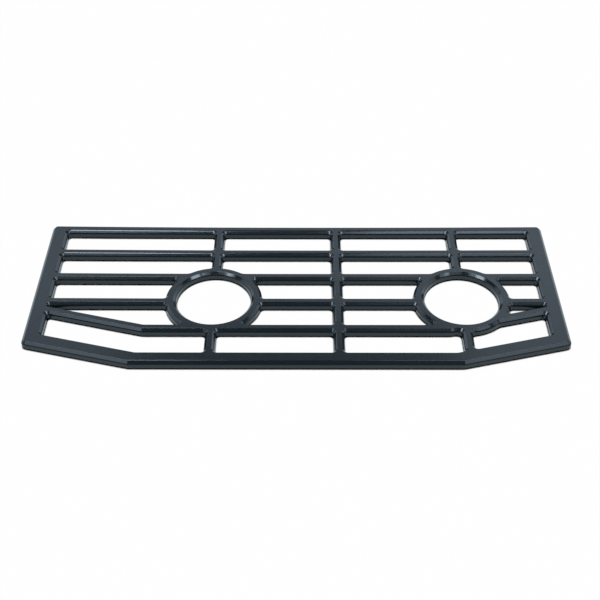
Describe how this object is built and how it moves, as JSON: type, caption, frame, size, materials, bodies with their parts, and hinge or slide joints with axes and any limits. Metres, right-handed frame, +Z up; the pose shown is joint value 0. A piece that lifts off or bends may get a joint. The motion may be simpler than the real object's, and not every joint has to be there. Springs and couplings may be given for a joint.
{
  "type": "drip tray grille",
  "caption": "Flat one-piece moulded grille with cut-off front corners, cross bars, ribs and round cup rings, laid over a drip tray so that cups stand on it and spills drain through.",
  "frame": {"origin": "centre of the grille's outline, on its underside", "axes": "+X to the right along the long straight front rail, +Y from the cut-off front corners to the straight back rail, +Z up out of the cup side"},
  "size_m": [0.351, 0.1408, 0.006],
  "materials": {
    "slate_plastic": "satin dark slate-grey moulded plastic, lightly textured on top and smoother on its chamfered edges"
  },
  "bodies": {
    "root": {"drip_grille": "slate_plastic"}
  },
  "joints": []
}
